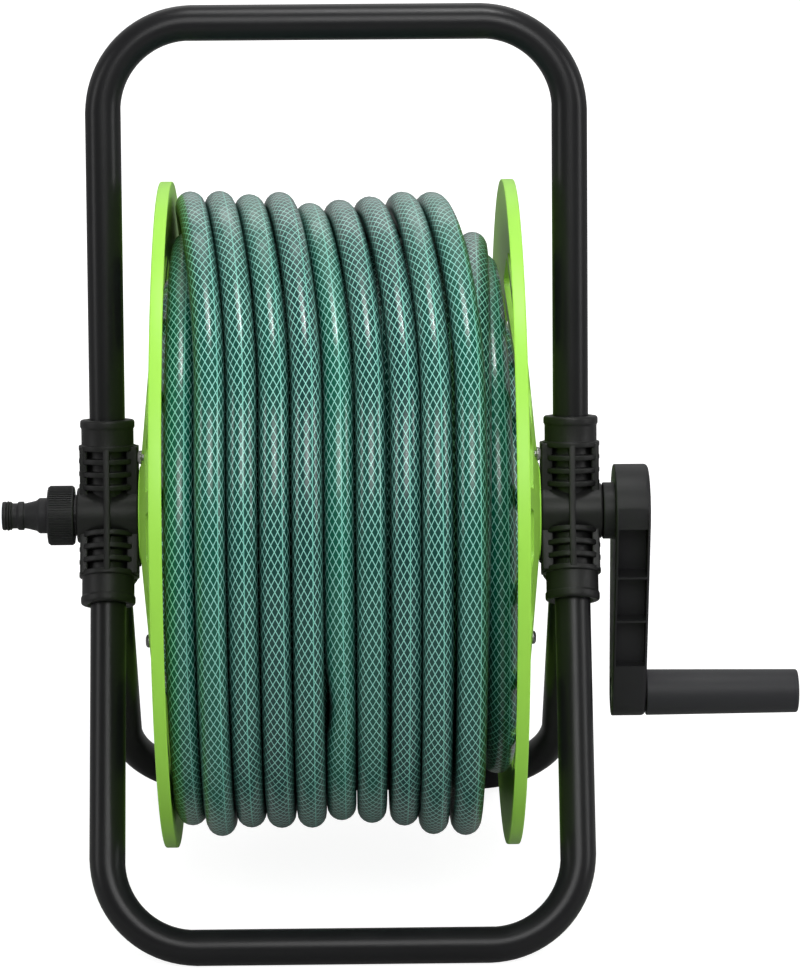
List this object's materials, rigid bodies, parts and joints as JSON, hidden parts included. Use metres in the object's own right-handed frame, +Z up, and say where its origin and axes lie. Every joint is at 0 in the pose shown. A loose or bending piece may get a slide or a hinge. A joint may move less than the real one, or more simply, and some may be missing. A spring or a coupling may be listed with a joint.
{
  "type": "garden hose reel",
  "caption": "Floor-standing garden hose reel: bent tube stand, crank-turned dished drum wound with half-inch hose, and a quick-connect water inlet in the axle.",
  "frame": {"origin": "middle of the underside of the reel's box, without the hose and its coupling", "axes": "+X along the axle towards the crank, +Y to the back of the reel, +Z up"},
  "size_m": [0.4296, 0.3564, 0.4732],
  "materials": {
    "powder_coat": "satin black powder coat",
    "black_plastic": "matte moulded",
    "grip_plastic": "matte dark grey moulded",
    "lime_plastic": "semi-gloss lime green moulded",
    "hose_green": "glossy clear cover over a braid",
    "zinc_steel": "zinc plated",
    "seal_rubber": "matte"
  },
  "bodies": {
    "frame": {"handle_tube": "powder_coat", "front_leg_tube": "powder_coat", "rear_leg_tube": "powder_coat", "left_bracket": "black_plastic", "right_bracket": "black_plastic", "bracket_screw_1": "zinc_steel", "bracket_screw_2": "zinc_steel", "bracket_screw_3": "zinc_steel", "bracket_screw_4": "zinc_steel", "bracket_screw_5": "zinc_steel", "bracket_screw_6": "zinc_steel"},
    "drum": {"left_flange": "lime_plastic", "right_flange": "lime_plastic", "drum_barrel": "lime_plastic", "inlet_axle": "black_plastic", "crank_axle": "black_plastic", "inlet_adaptor": "black_plastic", "adaptor_washer": "seal_rubber", "nipple_o_ring": "seal_rubber", "crank_arm": "black_plastic", "crank_washer": "zinc_steel", "crank_screw": "zinc_steel", "grip_bolt": "zinc_steel", "grip_nut": "zinc_steel", "outlet_elbow": "black_plastic", "hose_tail": "hose_green", "hose_inner_layers": "hose_green", "hose_outer_turns": "hose_green", "hose_clip": "zinc_steel", "coupling_nut": "grip_plastic", "hose_coupling": "black_plastic", "flange_screw_1": "zinc_steel", "flange_screw_2": "zinc_steel", "flange_screw_3": "zinc_steel", "flange_screw_4": "zinc_steel", "flange_screw_5": "zinc_steel", "flange_screw_6": "zinc_steel", "plate_screw_1": "zinc_steel", "plate_screw_2": "zinc_steel", "plate_screw_3": "zinc_steel", "plate_screw_4": "zinc_steel"},
    "grip": {"grip": "grip_plastic"}
  },
  "joints": [
    {"name": "drum_spin", "type": "hinge", "parent": "frame", "child": "drum", "pos_m": [-0.034, 0, 0.20918], "axis": [1, 0, 0], "continuous": true},
    {"name": "grip_spin", "type": "hinge", "parent": "drum", "child": "grip", "pos_m": [0.1734, 0, 0.10418], "axis": [1, 0, 0], "continuous": true}
  ]
}
